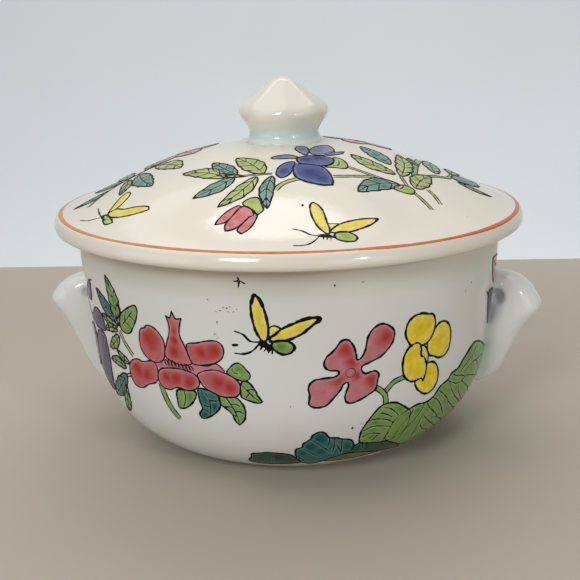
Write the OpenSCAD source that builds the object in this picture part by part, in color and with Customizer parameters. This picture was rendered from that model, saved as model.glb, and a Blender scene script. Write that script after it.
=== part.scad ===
// Lidded porcelain rice bowl: a footed bowl with two ear handles, and a domed lid with a
// moulded knob. Millimetres, +Z up, origin on the table under the middle of the foot ring.

/* [Bowl] */
// Outside radius of the mouth
mouth_r = 70; // [60:0.5:80]
// Height of the mouth above the table
mouth_z = 71.5; // [60:0.5:85]
// Thickness of the bowl's wall
wall_t = 3.6; // [2.5:0.1:5]
// How far the wall leans out from upright, in degrees
wall_flare = 5.6; // [3:0.1:8]
// Height where the straight wall turns into the belly
belly_z = 30; // [26:0.5:34]
// Radius of the belly's bend
belly_r = 35; // [32:0.5:38]
// Radius of the tighter bend above the foot
heel_r = 25; // [20:0.5:30]
// Slope, in degrees, at which the belly's bend gives way to the heel's
heel_slope = 38; // [30:1:45]
// Height of the bowl's inside floor
floor_z = 7.6; // [7:0.1:9]
// Radius of the rounding on the lip and the lid's rim
lip_r = 1.1; // [0.5:0.1:1.5]

/* [Foot ring] */
// Outside radius of the foot ring
foot_r = 43; // [38:0.5:44]
// Width of the foot ring
foot_w = 5; // [3:0.5:6]
// Height of the bowl's underside inside the foot ring
foot_h = 4; // [3.2:0.1:4.4]

/* [Lid] */
// Greatest radius of the lid, at the bulge of its rim
lid_r = 76.8; // [74:0.1:80]
// Radius of the rim's top edge, where the painted line runs
rim_top_r = 75; // [72:0.5:78]
// Height of the rim, from its flat seat to its top edge
rim_h = 5; // [4:0.1:6.5]
// How far the dome rises above the rim's top edge
dome_rise = 21.2; // [16:0.2:26]
// How much the dome flattens and dips towards the rim
dome_dip = 0.5; // [0:0.05:0.7]
// Thickness of the dome
dome_t = 4.2; // [3:0.1:5]
// Outside radius of the locating ring under the lid
ring_r = 64.6; // [60:0.1:65]
// Thickness of the locating ring
ring_t = 3.2; // [2.5:0.1:4]
// How far the locating ring reaches down into the bowl
ring_drop = 7; // [4:0.5:12]

/* [Knob] */
// Radius of the knob's flared base
knob_base_r = 12.8; // [12:0.1:18]
// Radius of the knob's neck
knob_neck_r = 11.3; // [9:0.1:13]
// Radius of the knob's brim
knob_brim_r = 14.6; // [12:0.1:17]
// Height of the neck's narrowest place above the knob's foot
knob_neck_z = 3.4; // [3:0.1:6]
// Height of the brim above the knob's foot
knob_brim_z = 10; // [8:0.1:12]
// Height of the knob
knob_h = 20.6; // [17:0.1:24]
// Facets pressed round the knob's top
knob_facets = 8; // [5:1:10]
// How far to the left of the lid's middle the knob was set by hand
knob_off = 0.9; // [0:0.1:1.5]

/* [Handles] */
// Greatest reach of a handle from the bowl's axis
handle_reach = 84.3; // [80:0.1:90]
// Greatest width of a handle, along the wall
handle_w = 17; // [12:0.5:22]
// Height of the handles' noses
nose_z = 42.6; // [38:0.2:46]
// Height of the left handle's shoulder above its nose, beside the right one's
left_rise = 0.76; // [0.6:0.02:1.2]
// Depth of the left handle's tail below its nose, beside the right one's
left_fall = 1.16; // [0.8:0.02:1.3]

/* [Hidden] */

porcelain = [0.90, 0.89, 0.85];
warm_porcelain = [0.93, 0.90, 0.83];
bare_clay = [0.80, 0.74, 0.65];

arc_steps = 14;   // points along each bend of an outline
dome_steps = 26;  // points along the dome, rim to middle
turn_fn = 96;

// Points on a bend: centre c, radius r, from slope a0 to slope a1, in degrees from level
function bend(c, r, a0, a1, n = arc_steps) =
  [for (i = [0:n]) let (a = a0 + (a1 - a0) * i / n) c + r * [sin(a), -cos(a)]];

// Radius of the bowl's outer wall at height z, on the straight stretch
function wall_r_at(z) = mouth_r - (mouth_z - z) * tan(wall_flare);

wall_slope = 90 - wall_flare;
belly_c = [wall_r_at(belly_z), belly_z] - belly_r * [sin(wall_slope), -cos(wall_slope)];
heel_c = belly_c + (belly_r - heel_r) * [sin(heel_slope), -cos(heel_slope)];
// Slope of the heel's bend where it meets the foot ring's outer face
foot_slope = asin((foot_r - heel_c[0]) / heel_r);
// Slope of the inner heel's bend where it meets the inside floor
floor_slope = acos((heel_c[1] - floor_z) / (heel_r - wall_t));

// The wall's outer line, foot to mouth
outer_wall = concat(
  bend(heel_c, heel_r, foot_slope, heel_slope),
  bend(belly_c, belly_r, heel_slope, wall_slope),
  bend([mouth_r - lip_r, mouth_z - lip_r], lip_r, wall_slope, 180, 5)
);
// The wall's inner line, floor to mouth
inner_mouth_r = mouth_r - wall_t / cos(wall_flare);
inner_wall = concat(
  bend(heel_c, heel_r - wall_t, floor_slope, heel_slope),
  bend(belly_c, belly_r - wall_t, heel_slope, wall_slope),
  [for (i = [0:5]) let (a = 90 * i / 5)
    [inner_mouth_r + lip_r * (1 - cos(a)), mouth_z - lip_r * (1 - sin(a))]]
);

// Height of the dome's outer face at radius r, above the lid's seat
function dome_z(r) =
  let (u = r / rim_top_r) rim_h + dome_rise * (1 - u * u) * (1 - dome_dip * pow(u, 4));

dome_skin = [for (i = [0:dome_steps]) let (r = rim_top_r * (1 - i / dome_steps)) [r, dome_z(r)]];
ring_in_r = ring_r - ring_t;
ring_land_z = 4;  // the ring joins a flat land this far above the seat
dome_in_r = ring_in_r - 2;
dome_lining = [for (i = [0:dome_steps])
  let (r = dome_in_r * i / dome_steps) [r, dome_z(r) - dome_t]];

// Where the knob's foot sits on the dome
knob_z = mouth_z + dome_z(knob_base_r);

module turned(points) {
  rotate_extrude($fn = turn_fn) polygon(points);
}

// The whole bowl with its hollow filled: what a handle is luted against
module bowl_blank() {
  turned(concat([[0, foot_h], [foot_r, foot_h]], outer_wall, [[0, mouth_z]]));
}

module bowl_body() {
  color(porcelain)
    turned(concat(
      [[0, foot_h], [foot_r, foot_h]],
      outer_wall,
      [for (i = [len(inner_wall) - 1:-1:0]) inner_wall[i]],
      [[0, floor_z]]
    ));
}

module foot_ring() {
  edge = 0.8;
  color(bare_clay)
    turned(concat(
      [[foot_r, foot_h]],
      [for (i = [0:4]) let (a = 90 * i / 4)
        [foot_r - edge * (1 - cos(a)), edge * (1 - sin(a))]],
      [for (i = [0:4]) let (a = 90 * i / 4)
        [foot_r - foot_w + edge * (1 - sin(a)), edge * (1 - cos(a))]],
      [[foot_r - foot_w, foot_h]]
    ));
}

// The rim's face: a tight corner below, then a gentle bend that leans back to the dome's edge
rim_corner_r = 1.8;
rim_face_r = 6;
rim_face_slope = 97;
rim_corner_c = [lid_r - rim_corner_r, rim_corner_r];
rim_face_c = rim_corner_c - (rim_face_r - rim_corner_r) * [sin(rim_face_slope), -cos(rim_face_slope)];
rim_top_slope = acos((rim_face_c[1] - rim_h) / rim_face_r);
rim_side = concat(
  bend(rim_corner_c, rim_corner_r, 0, rim_face_slope),
  bend(rim_face_c, rim_face_r, rim_face_slope, rim_top_slope, 6)
);

module lid_shell() {
  color(warm_porcelain)
    translate([0, 0, mouth_z])
      turned(concat(
        [[ring_r, 0]],
        rim_side,
        dome_skin,
        dome_lining,
        [[ring_in_r, dome_z(dome_in_r) - dome_t], [ring_in_r, ring_land_z], [ring_r, ring_land_z]]
      ));
}

module lid_locating_ring() {
  edge = 0.8;
  color(bare_clay)
    translate([0, 0, mouth_z])
      turned([
        [ring_in_r, ring_land_z], [ring_in_r, edge - ring_drop], [ring_in_r + edge, -ring_drop],
        [ring_r - edge, -ring_drop], [ring_r, edge - ring_drop], [ring_r, ring_land_z]
      ]);
}

// Outline of the knob's turned part, from its foot up to the brim
knob_side = [for (i = [0:16]) let (
  t = i / 16,
  z = knob_brim_z * t,
  below = z < knob_neck_z,
  s = below ? 1 - z / knob_neck_z : (z - knob_neck_z) / (knob_brim_z - knob_neck_z),
  reach = below ? (knob_base_r - knob_neck_r) * pow(s, 2.2)
                : (knob_brim_r - knob_neck_r) * pow(sin(90 * s), 1.5))
  [knob_neck_r + reach, z]];

module lid_knob() {
  shoulder_r = 1.6;
  tip_r = 6;
  color(warm_porcelain)
    difference() {
      translate([-knob_off, 0, knob_z]) {
        turned(concat([[0, -1.5], [knob_base_r, -1.5]], knob_side, [[0, knob_brim_z]]));
        hull() {
          for (i = [0:knob_facets - 1])
            rotate(360 * (i + 0.2) / knob_facets)
              translate([knob_brim_r - shoulder_r - 0.1, 0, knob_brim_z + 0.6])
                sphere(shoulder_r, $fn = 20);
          translate([0, 0, knob_brim_z - 1]) cylinder(h = 1, r = knob_brim_r - 0.3, $fn = 48);
          translate([0, 0, knob_h - tip_r]) sphere(tip_r, $fn = 28);
        }
      }
      translate([0, 0, mouth_z])
        turned(concat([[0, 0], [rim_top_r, 0]], dome_skin));
    }
}

// The right handle's outline in the upright plane through the bowl's axis, from its upper root
// round the nose to its tail. Each station gives the inner face's distance from the axis and its
// height above the nose, then the outer face's, then the width along the wall. The inner face
// lies just inside the wall, so the handle stands on the wall all the way down.
handle_line = [
  [64.0, 5.3, 64.0, 10.4, 11.5],
  [66.0, 5.7, 70.6, 11.2, 12.5],
  [66.2, 4.9, 75.8, 10.4, 14],
  [66.2, 3.2, 80.0, 7.6, 15.5],
  [66.0, 1.0, 82.9, 3.7, handle_w - 0.5],
  [65.7, -1.6, handle_reach, 0, handle_w],
  [65.3, -4.6, 80.9, -4.0, handle_w - 0.5],
  [64.9, -8.1, 77.6, -9.2, 15],
  [64.6, -12.1, 75.0, -14.7, 13],
  [63.4, -16.1, 72.6, -19.8, 11],
  [61.4, -20.1, 70.0, -24, 9],
  [58.5, -24.1, 65.0, -27.2, 7.5]
];
handle_sides = 20;
handle_substeps = 3;

// Value along a smooth curve through four neighbouring stations, at share t of the middle span
function through(a, b, c, d, t) =
  0.5 * ((2 * b) + (c - a) * t + (2 * a - 5 * b + 4 * c - d) * t * t
    + (3 * b - a - 3 * c + d) * t * t * t);

handle_last = len(handle_line) - 1;
handle_stations = [for (i = [0:handle_last - 1], k = [0:handle_substeps - 1])
  through(
    handle_line[max(i - 1, 0)], handle_line[i],
    handle_line[i + 1], handle_line[min(i + 2, handle_last)],
    k / handle_substeps)
];
handle_path = concat(handle_stations, [handle_line[handle_last]]);

// Makes an oval squarer: t is a sine or a cosine
function squared(t) = sign(t) * pow(abs(t), 0.78);

// One oval of points round the handle at a station
function handle_ring(p) =
  let (mid = [p[0] + p[2], p[1] + p[3]] / 2, half = [p[2] - p[0], p[3] - p[1]] / 2)
  [for (k = [0:handle_sides - 1]) let (a = 360 * k / handle_sides)
    [mid[0] + half[0] * squared(sin(a)), p[4] / 2 * squared(cos(a)), mid[1] + half[1] * squared(sin(a))]];

// The hollow for a fingertip on each side of a handle, under its shoulder and next to the wall:
// its middle, with the height above the nose, and its half lengths
hollow_at = [68.8, 9.0, 4.2];
hollow_size = [2.8, 5.8, 3.0];

// A handle with its height above the nose scaled by rise, and its depth below the nose by fall
module ear_handle(rise = 1, fall = 1) {
  n = len(handle_path);
  m = handle_sides;
  points = [for (p = handle_path, q = handle_ring(p))
    [q[0], q[1], nose_z + q[2] * (q[2] > 0 ? rise : fall)]];
  skin = [for (i = [0:n - 2], k = [0:m - 1]) let (j = (k + 1) % m) each [
    [i * m + k, i * m + j, (i + 1) * m + j],
    [i * m + k, (i + 1) * m + j, (i + 1) * m + k]
  ]];
  caps = [[for (k = [m - 1:-1:0]) k], [for (k = [0:m - 1]) (n - 1) * m + k]];
  difference() {
    polyhedron(points, concat(skin, caps));
    bowl_blank();
    for (side = [-1, 1])
      translate([hollow_at[0], side * hollow_at[1], nose_z + hollow_at[2] * rise])
        scale([hollow_size[0], hollow_size[1], hollow_size[2] * rise])
          sphere(1, $fn = 32);
  }
}

module left_handle() {
  color(porcelain) rotate(180) ear_handle(left_rise, left_fall);
}

module right_handle() {
  color(porcelain) ear_handle();
}

bowl_body();
foot_ring();
left_handle();
right_handle();
lid_shell();
lid_locating_ring();
lid_knob();
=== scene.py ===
"""Lidded porcelain rice bowl, painted with enamel flowers, leaves and butterflies.

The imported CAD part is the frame. The thrown pieces are turned again from its outlines with soft
bends, the knob and the handles are softened as a thick glaze does, and the painting lies on their
skins as thin raised enamel, one piece for each motif. Lengths are millimetres until they are made
into meshes. Drawings on the bowl give degrees round it, from the front, and millimetres up the wall.
Drawings on the lid give millimetres across and towards the back, from its middle.
"""
import math
import random

import bpy
import numpy as np
from mathutils import Matrix, Vector
from mathutils.bvhtree import BVHTree
from mathutils.geometry import delaunay_2d_cdt


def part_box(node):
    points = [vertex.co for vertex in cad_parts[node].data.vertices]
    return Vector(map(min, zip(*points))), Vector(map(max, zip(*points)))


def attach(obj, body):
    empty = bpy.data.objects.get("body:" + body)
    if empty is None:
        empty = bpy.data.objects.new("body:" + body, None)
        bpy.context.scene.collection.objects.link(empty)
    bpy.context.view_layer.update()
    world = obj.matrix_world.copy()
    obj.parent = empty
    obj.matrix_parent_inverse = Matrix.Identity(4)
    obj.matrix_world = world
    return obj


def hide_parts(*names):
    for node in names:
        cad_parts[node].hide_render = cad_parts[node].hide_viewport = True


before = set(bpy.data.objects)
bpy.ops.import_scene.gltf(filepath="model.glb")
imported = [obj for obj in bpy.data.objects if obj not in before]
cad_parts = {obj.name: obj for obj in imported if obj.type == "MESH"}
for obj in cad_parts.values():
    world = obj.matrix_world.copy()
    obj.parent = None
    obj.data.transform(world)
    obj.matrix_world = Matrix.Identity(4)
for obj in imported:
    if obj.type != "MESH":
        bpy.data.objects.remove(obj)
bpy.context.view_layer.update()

MM = 0.001

# ---------------------------------------------------------------- outlines of the turned pieces


def node_outline(node, start):
    """A turned node's outline as (radius, height), walked along its mesh from the point nearest start."""
    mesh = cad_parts[node].data
    keys = [(round(math.hypot(v.co.x, v.co.y) / MM, 1), round(v.co.z / MM, 1)) for v in mesh.vertices]
    exact = {k: (math.hypot(v.co.x, v.co.y) / MM, v.co.z / MM) for k, v in zip(keys, mesh.vertices)}
    links = {k: set() for k in exact}
    for edge in mesh.edges:
        a, b = (keys[i] for i in edge.vertices)
        if a != b:
            links[a].add(b)
            links[b].add(a)
    here = min(exact, key=lambda k: math.dist(k, start))
    walk = [here]
    while True:
        onward = [k for k in links[here] if k not in walk]
        if not onward:
            return np.array([exact[k] for k in walk])
        here = min(onward, key=lambda k: math.dist(k, here))
        walk.append(here)


def lengths(points):
    """Distance along a line to each of its points."""
    return np.concatenate([[0], np.cumsum(np.linalg.norm(np.diff(points, axis=0), axis=1))])


def soften(points, step=0.25, least=0.3, most=1.6):
    """The same line with each bend eased, more where its points are further apart."""
    along = lengths(points)
    gap = np.diff(along)
    room = np.minimum(np.append(gap, gap[-1]), np.insert(gap, 0, gap[0]))
    t = np.arange(0, along[-1], step)
    line = np.column_stack([np.interp(t, along, points[:, k]) for k in (0, 1)])
    ease = np.clip(0.6 * np.interp(t, along, room), least, most)
    ease = np.minimum(ease, np.minimum(t, along[-1] - t) / 3 + 1e-6)
    weight = np.exp(-0.5 * ((t[:, None] - t[None, :]) / ease[:, None]) ** 2)
    return (weight @ line) / weight.sum(1)[:, None]


def thin_out(line, turn=2.5, gap=3.0):
    """Drops points where the line hardly bends, and keeps them at most gap apart."""
    kept = [0]
    for i in range(1, len(line) - 1):
        back, on = line[i] - line[kept[-1]], line[i + 1] - line[i]
        bend = math.degrees(abs(math.atan2(back[0] * on[1] - back[1] * on[0], back @ on)))
        if bend > turn or np.linalg.norm(back) > gap:
            kept.append(i)
    return line[kept + [len(line) - 1]]


def smoothstep(x):
    x = np.clip(x, 0, 1)
    return x * x * (3 - 2 * x)


bowl_line = soften(node_outline("bowl_body", (43, 4)))
lid_line = soften(node_outline("lid_shell", (0, 97.7)))
foot_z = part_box("bowl_body")[0].z / MM
mouth_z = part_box("bowl_body")[1].z / MM


def bowl_swell(turn, z):
    """How far the thrower's hand left the bowl out of round, in mm outwards. None at foot and mouth."""
    fade = np.sin(np.pi * np.clip((z - foot_z) / (mouth_z - foot_z), 0, 1)) ** 2
    bulge, lobes, ridges = np.sin(3 * turn + z / 21), np.sin(5 * turn - z / 9), np.sin(z / 1.9 + turn)
    return fade * (0.10 * bulge + 0.05 * lobes + 0.03 * ridges)


def lid_swell(x, y):
    """How far the dome rises or sinks from true, in mm. None at the knob's foot and at the rim."""
    r, turn = np.hypot(x, y), np.arctan2(y, x)
    fade = np.sin(np.pi * np.clip((r - 12) / 56, 0, 1)) ** 2
    bulge, lobes, ridges = np.sin(2 * turn + r / 17), np.sin(5 * turn + r / 11), np.sin(r / 2.1 + turn)
    return fade * (0.09 * bulge + 0.05 * lobes + 0.03 * ridges)


# ---------------------------------------------------------------- the skins that are painted on


class BowlSkin:
    """The bowl's outer face. x is mm round it from the front, y is mm up it, 0 at the foot ring."""

    around = 1.19  # mm to a degree at the wall's middle
    belly = (30, 39.1)  # height of the belly line, and the same measured up the skin

    def __init__(self):
        low, lip = np.argmin(bowl_line[:, 1]), np.argmax(bowl_line[:, 1] > mouth_z - 0.3)
        outer = bowl_line[low:lip]
        self.line = outer
        up = lengths(outer)
        self.up = up + self.belly[1] - np.interp(self.belly[0], outer[:, 1], up)

    def at(self, x, y):
        turn = np.radians(x / self.around)
        r, z = (np.interp(y, self.up, self.line[:, k]) for k in (0, 1))
        dr, dz = (np.interp(y + 0.6, self.up, self.line[:, k]) - np.interp(y - 0.6, self.up, self.line[:, k])
                  for k in (0, 1))
        long = np.hypot(dr, dz) + 1e-9
        r = r + bowl_swell(turn, z)
        out = dz / long
        normal = np.column_stack([out * np.sin(turn), -out * np.cos(turn), -dr / long])
        return np.column_stack([r * np.sin(turn), -r * np.cos(turn), z]), normal


class LidSkin:
    """The lid's dome seen from above. x is mm to the right, y is mm towards the back."""

    around = 1.0

    def __init__(self):
        top = lid_line[: int(np.argmax(lid_line[:, 0] > 75.4))]
        self.line = top

    def at(self, x, y):
        r = np.hypot(x, y) + 1e-9
        z, ahead, behind = (np.interp(r + d, self.line[:, 0], self.line[:, 1]) for d in (0, 0.6, -0.6))
        slope = (ahead - behind) / 1.2
        long = np.sqrt(1 + slope * slope)
        normal = np.column_stack([-slope * x / r, -slope * y / r, np.ones_like(r)]) / long[:, None]
        return np.column_stack([x, y, z + lid_swell(x, y)]), normal


bowl_skin = BowlSkin()
lid_skin = LidSkin()

# ---------------------------------------------------------------- materials


class Surface:
    """A node material, built up from sockets and laid out in the piece's own coordinates."""

    def __init__(self, name, roughness):
        self.material = bpy.data.materials.new(name)
        self.material.use_nodes = True
        self.tree = self.material.node_tree
        self.shader = self.tree.nodes["Principled BSDF"]
        self.shader.inputs["Roughness"].default_value = roughness
        self.place = self.node("TexCoord").outputs["Object"]

    def feed(self, socket, value):
        """Links a socket to another one, or sets it to a number or a colour."""
        if isinstance(value, bpy.types.NodeSocket):
            self.tree.links.new(value, socket)
        else:
            socket.default_value = (*value, 1) if isinstance(value, tuple) else value

    def node(self, kind, **inputs):
        """A new node with its inputs fed. An underscore in an input's name stands for a space."""
        made = self.tree.nodes.new("ShaderNode" + kind)
        for name, value in inputs.items():
            self.feed(made.inputs[name.replace("_", " ")], value)
        return made

    def shade(self, **inputs):
        for name, value in inputs.items():
            self.feed(self.shader.inputs[name.replace("_", " ")], value)

    def painted(self, attribute):
        made = self.node("Attribute")
        made.attribute_name = attribute
        return made

    def noise(self, scale, detail=3.0):
        return self.node("TexNoise", Vector=self.place, Scale=scale, Detail=detail).outputs["Fac"]

    def mixed(self, share, low, high):
        """A colour between low and high. Each is a colour or a socket."""
        mix = self.node("Mix")
        mix.data_type = "RGBA"
        for name, value in (("Factor", share), ("A", low), ("B", high)):
            self.feed(mix.inputs[name], value)
        return mix.outputs["Result"]

    def ranged(self, value, low, high, to_low, to_high):
        ramp = self.node("MapRange", Value=value, From_Min=low, From_Max=high, To_Min=to_low, To_Max=to_high)
        return ramp.outputs["Result"]

    def product(self, a, b):
        times = self.node("Math")
        times.operation = "MULTIPLY"
        self.feed(times.inputs[0], a)
        self.feed(times.inputs[1], b)
        return times.outputs["Value"]

    def bumped(self, height, distance, strength):
        bump = self.node("Bump", Distance=distance, Strength=strength, Height=height)
        self.shade(Normal=bump.outputs["Normal"])

    def specks(self, spacing, size, share):
        """1 on small round specks, spacing and size in metres, in this share of their places."""
        cells = self.node("TexVoronoi", Vector=self.place, Scale=1 / spacing)
        reach = size / spacing
        near = self.ranged(cells.outputs["Distance"], reach * 0.6, reach, 1, 0)
        split = self.node("SeparateColor", Color=cells.outputs["Color"])
        chosen = self.ranged(split.outputs["Red"], share, share + 0.01, 1, 0)
        return self.product(near, chosen)


def glaze(name, body, cloud, pool=(0.60, 0.70, 0.66), stain_and_rim_shade=None):
    """Clear glaze over porcelain: faint clouding, bluish where it pools, a few iron specks, a soft ripple,
    and on the bowl a brown band below the lid's rim, painted shade with some staining in the glaze, that
    grows towards the lip and is strongest on the left."""
    m = Surface(name, 0.09)
    colour = m.mixed(m.ranged(m.noise(28), 0.35, 0.68, 0, 1), body, cloud)
    colour = m.mixed(m.painted("pool").outputs["Fac"], colour, pool)
    if stain_and_rim_shade:
        # painted shade: a brown band just below the lid's rim, strongest on the left, with some staining in
        # the glaze
        split = m.node("SeparateXYZ", Vector=m.place)
        rise = m.ranged(split.outputs["Z"], 0.061, 0.0705, 0, 0.85)
        left = m.ranged(split.outputs["X"], -0.06, 0.03, 1.25, 0.85)
        patchy = m.ranged(m.noise(22), 0.3, 0.7, 0.45, 1.0)
        colour = m.mixed(m.product(rise, m.product(patchy, left)), colour, stain_and_rim_shade)
    iron = m.specks(spacing=0.009, size=0.00028, share=0.10)
    wear = m.ranged(m.noise(90, 4.0), 0.35, 0.7, 0.07, 0.13)
    m.shade(Base_Color=m.mixed(iron, colour, (0.10, 0.075, 0.055)), Roughness=wear)
    m.bumped(m.noise(160, 2.0), 0.00012, 0.5)
    m.shader.inputs["IOR"].default_value = 1.52
    return m.material


def bare_clay():
    """Unglazed porcelain: chalky, warm, with fine dark grit."""
    m = Surface("bare_clay", 0.8)
    colour = m.mixed(m.noise(120), (0.66, 0.58, 0.48), (0.50, 0.42, 0.33))
    grit = m.specks(spacing=0.0022, size=0.00022, share=0.3)
    grain = m.noise(1400, 5.0)
    m.shade(Base_Color=m.mixed(grit, colour, (0.22, 0.17, 0.13)))
    m.shade(Roughness=m.ranged(grain, 0.3, 0.7, 0.7, 0.9))
    m.bumped(grain, 0.0001, 0.6)
    return m.material


def enamel(name, roughness, streak, sheen):
    """Glassy colour laid on by brush: the colour is painted in the mesh, streaked and pinholed a little."""
    m = Surface(name, roughness)
    m.shader.inputs["Specular IOR Level"].default_value = sheen
    strokes = m.noise(420, 4.0)
    shade = m.ranged(strokes, 0.3, 0.7, 1 - streak, 1 + streak)
    streaked = m.node("HueSaturation", Color=m.painted("tint").outputs["Color"], Value=shade)
    gloss = m.ranged(strokes, 0.3, 0.7, roughness * 0.7, roughness * 1.5)
    m.shade(Base_Color=streaked.outputs["Color"], Roughness=gloss)
    m.bumped(m.noise(700, 3.0), 0.00008, 0.5)
    return m.material


materials = {
    # the bowl's brown band is painted shade under the lid's rim, with some staining in the glaze
    "bowl": glaze("bowl_glaze", (0.79, 0.79, 0.75), (0.75, 0.755, 0.72), stain_and_rim_shade=(0.40, 0.33, 0.22)),
    "lid": glaze("lid_glaze", (0.86, 0.80, 0.685), (0.82, 0.77, 0.67)),
    # painted light: the knob has the lid's glaze, here with a lighter body and a lighter pool, for the light
    # on the knob's top and on its neck under the brim
    "knob": glaze("knob_glaze_painted_light", (0.87, 0.825, 0.735), (0.83, 0.79, 0.71), pool=(0.64, 0.77, 0.75)),
    # painted light: the handles have the bowl's glaze, here made lighter and a little cooler for the bright
    # light on them from the sides
    "handle": glaze("handle_glaze_painted_light", (0.85, 0.85, 0.82), (0.81, 0.815, 0.785)),
    "clay": bare_clay(),
    "enamel": enamel("enamel", 0.13, 0.12, sheen=0.22),
    "ink": enamel("outline_enamel", 0.30, 0.3, sheen=0.10),
}

# ---------------------------------------------------------------- meshes


def make_piece(name, points, faces, body, skins=("bowl",), kinds=None, tints=None, pool=None):
    """A piece from points in mm, riding on a body, with its materials and its painted attributes."""
    mesh = bpy.data.meshes.new(name)
    mesh.from_pydata((np.asarray(points) * MM).tolist(), [], faces)
    for skin in skins:
        mesh.materials.append(materials[skin])
    mesh.polygons.foreach_set("use_smooth", np.ones(len(mesh.polygons), bool))
    if kinds is not None:
        mesh.polygons.foreach_set("material_index", np.asarray(kinds, np.int32))
    if tints is not None:
        layer = mesh.attributes.new("tint", "FLOAT_COLOR", "POINT")
        layer.data.foreach_set("color", np.asarray(tints, np.float32).ravel())
    if pool is not None:
        layer = mesh.attributes.new("pool", "FLOAT", "POINT")
        layer.data.foreach_set("value", np.asarray(pool, np.float32))
    mesh.update()
    piece = bpy.data.objects.new(name, mesh)
    bpy.context.scene.collection.objects.link(piece)
    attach(piece, body)
    return piece


def band_faces(rows, segments):
    """Faces between rows of points that each run once round the axis."""
    return [(i * segments + k, i * segments + (k + 1) % segments,
             (i + 1) * segments + (k + 1) % segments, (i + 1) * segments + k)
            for i in range(rows - 1) for k in range(segments)]


def lathe(line, segments):
    """Points and faces of a line turned about the axis. They face outwards if it climbs on the outside."""
    turns = np.arange(segments) * 2 * np.pi / segments
    grid = np.stack([line[:, None, 0] * np.sin(turns), -line[:, None, 0] * np.cos(turns),
                     np.repeat(line[:, 1:2], segments, 1)], axis=2)
    return grid.reshape(-1, 3), band_faces(len(line), segments)


turn_segments = 256


def capped(line, segments):
    """A turned line that starts and ends on the axis, closed with one point at each end."""
    points, faces = lathe(line[1:-1], segments)
    first, last = len(points), len(points) + 1
    points = np.vstack([points, [0, 0, line[0, 1]], [0, 0, line[-1, 1]]])
    tail = (len(line) - 3) * segments
    for k in range(segments):
        m = (k + 1) % segments
        faces.append((first, m, k))
        faces.append((last, tail + k, tail + m))
    return points, faces


def make_bowl():
    """The bowl's body, from the middle of its underside round the lip to the middle of its floor."""
    line = thin_out(bowl_line)
    under_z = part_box("foot_ring")[1].z / MM
    line = np.vstack([[0, under_z], [20, under_z], [42, under_z], line, [30, line[-1, 1]], [0, line[-1, 1]]])
    points, faces = capped(line, turn_segments)
    turn = np.arctan2(points[:, 0], -points[:, 1])
    r = np.hypot(points[:, 0], points[:, 1])
    swell = bowl_swell(turn, points[:, 2]) * smoothstep((r - 40) / 8)
    points[:, 0] += swell * np.sin(turn)
    points[:, 1] -= swell * np.cos(turn)
    z = points[:, 2]
    pool = 0.5 * np.exp(-((z - 5) / 3.0) ** 2) + 0.35 * np.exp(-((r - 51) ** 2 + (z - 9) ** 2) / 14)
    piece = make_piece("bowl_glazed_body", points, faces, "bowl", ("bowl",), pool=pool)
    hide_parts("bowl_body")


def make_lid():
    """The lid's shell: dome, rim, seat and lining."""
    points, faces = capped(thin_out(lid_line)[::-1], turn_segments)
    r = np.hypot(points[:, 0], points[:, 1])
    points[:, 2] += lid_swell(points[:, 0], points[:, 1])
    knob_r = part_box("lid_knob")[1].x / MM
    pool = 0.55 * np.exp(-((r - knob_r) / 2.6) ** 2)
    piece = make_piece("lid_glazed_shell", points, faces, "lid", ("lid",), pool=pool)
    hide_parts("lid_shell")


def make_foot():
    """The foot ring's turned edge, bare where it stands."""
    line = thin_out(soften(node_outline("foot_ring", (43, 4)), least=0.2), gap=1.5)
    points, faces = lathe(line[::-1], turn_segments)
    piece = make_piece("foot_ring_turned", points, faces, "bowl", ("clay",))
    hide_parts("foot_ring")


def surface_of(node):
    return BVHTree.FromObject(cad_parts[node], bpy.context.evaluated_depsgraph_get())


def blurred(grid, times):
    """A grid eased down its rows, and round its columns, which meet."""
    for _ in range(times):
        inner = (grid[:-2] + 2 * grid[1:-1] + grid[2:]) / 4
        grid = np.vstack([grid[:1], inner, grid[-1:]])
        grid = (np.roll(grid, 1, 1) + 2 * grid + np.roll(grid, -1, 1)) / 4
    return grid


def make_knob():
    """The knob: its turned neck and brim, and the soft facets of its top, with a glaze fillet below.
    Each row of the neck is level, and each row of the top is seen from the brim's middle at one tilt."""
    segments, neck_rows, cap_rows = 192, 34, 44
    skin = surface_of("lid_knob")
    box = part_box("lid_knob")
    low, high = (corner.z / MM for corner in box)
    axis_x = (box[0].x + box[1].x) / 2 / MM
    brim_z = high - 10.6
    z = np.append(np.linspace(low + 0.6, brim_z, neck_rows), np.full(cap_rows, brim_z))[:, None]
    tilt = np.append(np.zeros(neck_rows), np.radians(np.linspace(2.5, 88, cap_rows)))[:, None]
    turn = np.arange(segments) * 2 * np.pi / segments
    reach = np.zeros((len(z), segments))
    for i in range(len(z)):
        middle = Vector((axis_x * MM, 0, z[i, 0] * MM))
        level, rise = math.cos(tilt[i, 0]), math.sin(tilt[i, 0])
        for k in range(segments):
            ray = Vector((math.sin(turn[k]) * level, -math.cos(turn[k]) * level, rise))
            hit = skin.ray_cast(middle + ray * 0.04, -ray, 0.04)[0]
            reach[i, k] = (hit - middle).length / MM if hit else reach[i - 1, k]
    reach = blurred(reach, 5)
    on_neck = tilt == 0
    fillet = 0.9 * (1 - smoothstep((z - low) / 1.6)) * on_neck
    r = (reach + fillet) * np.cos(tilt)
    height = z + reach * np.sin(tilt)
    height[0] -= 1.2  # the lowest row is sunk in the dome
    pool = 0.9 * np.exp(-((height - low - 2.8) / 2.6) ** 2) * on_neck
    points = np.stack([axis_x + r * np.sin(turn), -r * np.cos(turn), height], axis=2).reshape(-1, 3)
    tip = len(points)
    points = np.vstack([points, [axis_x, 0, brim_z + reach[-1].mean()]])
    faces = band_faces(len(z), segments)
    faces += [(tip - segments + k, tip - segments + (k + 1) % segments, tip) for k in range(segments)]
    faces.append(tuple(range(segments - 1, -1, -1)))
    pool = np.append(pool, 0)
    piece = make_piece("knob_faceted", points, faces, "lid", ("knob",), pool=pool)
    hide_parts("lid_knob")


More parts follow.
